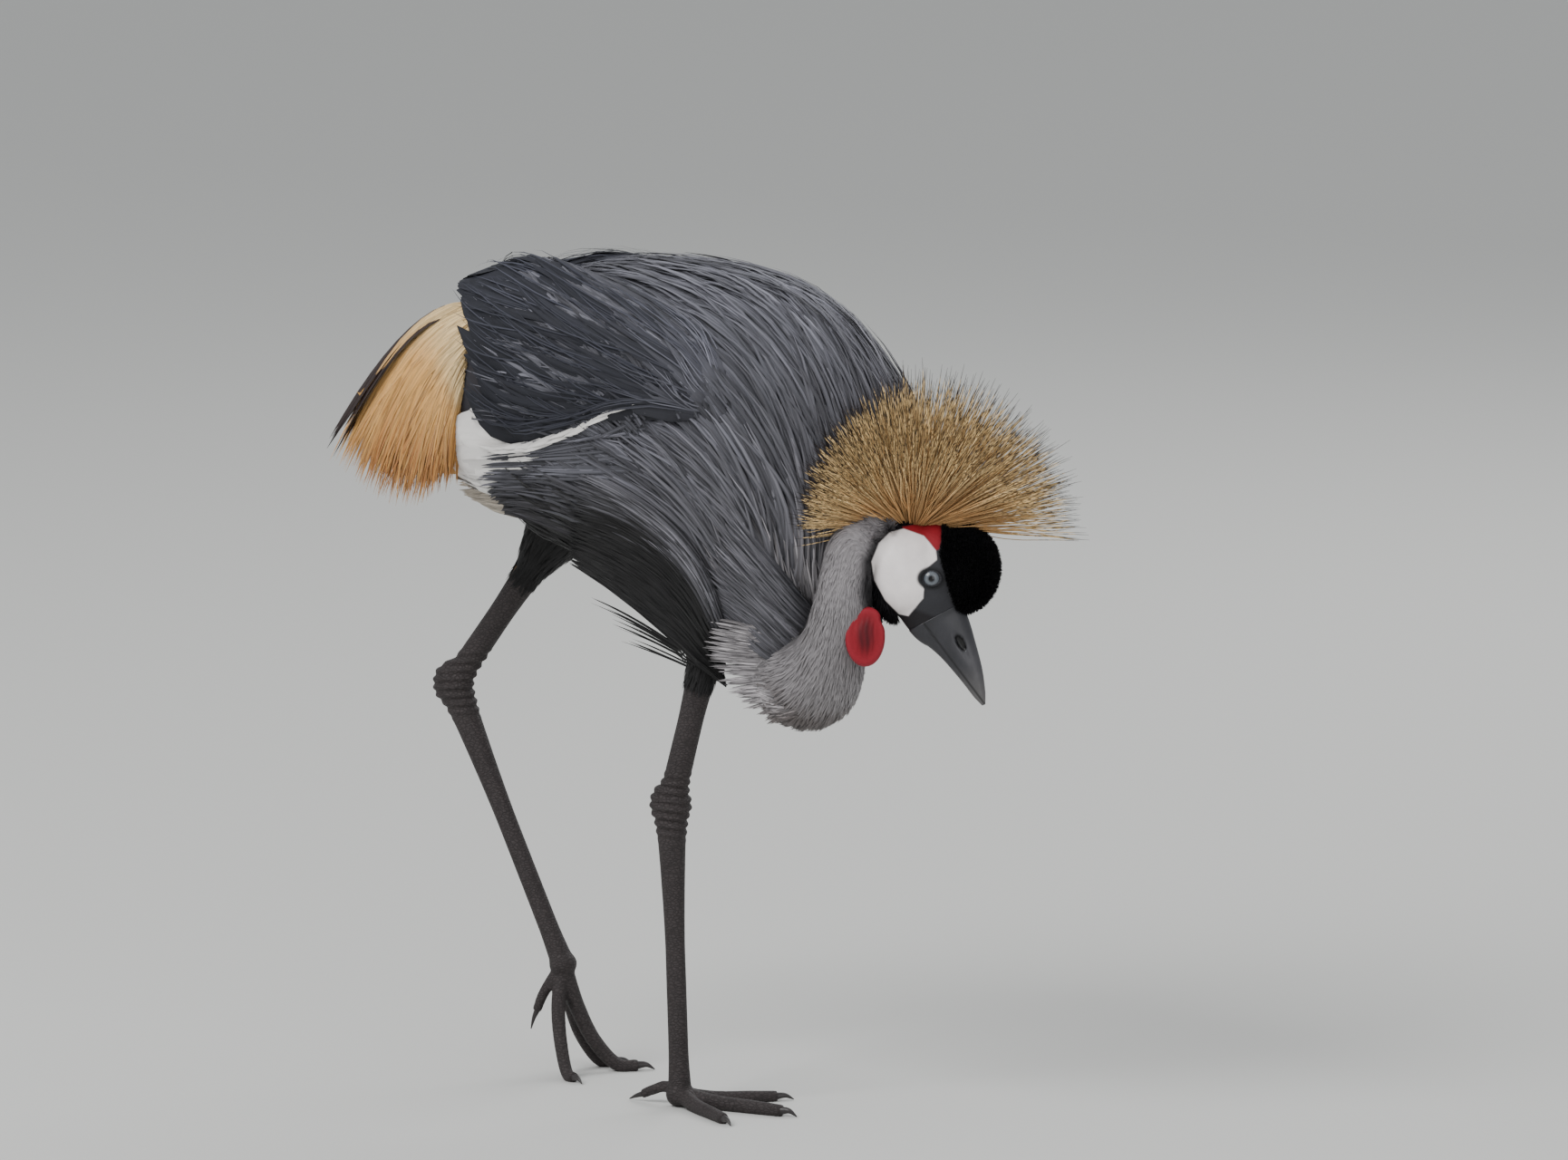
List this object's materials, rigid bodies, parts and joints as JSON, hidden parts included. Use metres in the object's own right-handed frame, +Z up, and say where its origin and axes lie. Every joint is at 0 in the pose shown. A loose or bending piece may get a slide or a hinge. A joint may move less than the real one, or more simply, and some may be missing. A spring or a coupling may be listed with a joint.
{
  "type": "grey crowned crane",
  "caption": "Life-size grey crowned crane in mid stride, head held low beside its breast under a fan of golden bristles.",
  "frame": {"origin": "middle of the bounding box on the floor that the feet stand on", "axes": "+X the way the body faces, +Y the bird's left, +Z up"},
  "size_m": [0.5681, 0.2373, 0.6056],
  "materials": {
    "plumage_grey": "matt, soft barbs",
    "plumage_pale": "matt, soft barbs",
    "plumage_slate": "satin",
    "plumage_black": "matt, velvety",
    "crest_gold": "satin, stiff bristles",
    "head_skin": "matt, bare white skin with a red patch",
    "wattle_red": "satin",
    "leg_scales": "matt, fine scales",
    "bill_horn": "satin horn",
    "claw_horn": "satin horn",
    "eye": "wet gloss"
  },
  "bodies": {
    "root": {"torso": "plumage_grey", "neck_base": "plumage_pale", "neck_bend": "plumage_pale", "neck_upper": "plumage_pale", "head": "head_skin", "bill_upper": "bill_horn", "bill_lower": "bill_horn", "eye_right": "eye", "eye_left": "eye", "wattle": "wattle_red", "crest": "crest_gold", "wing_right": "plumage_slate", "wing_left": "plumage_slate", "tail": "plumage_black", "shank_right": "leg_scales", "tarsus_right": "leg_scales", "thigh_right": "plumage_black", "hock_right": "leg_scales", "foot_right": "leg_scales", "toe_middle_right": "leg_scales", "claw_middle_right": "claw_horn", "toe_inner_right": "leg_scales", "claw_inner_right": "claw_horn", "toe_outer_right": "leg_scales", "claw_outer_right": "claw_horn", "toe_hind_right": "leg_scales", "claw_hind_right": "claw_horn", "shank_left": "leg_scales", "tarsus_left": "leg_scales", "thigh_left": "plumage_black", "hock_left": "leg_scales", "foot_left": "leg_scales", "toe_middle_left": "leg_scales", "claw_middle_left": "claw_horn", "toe_inner_left": "leg_scales", "claw_inner_left": "claw_horn", "toe_outer_left": "leg_scales", "claw_outer_left": "claw_horn", "toe_hind_left": "leg_scales", "claw_hind_left": "claw_horn"}
  },
  "joints": []
}
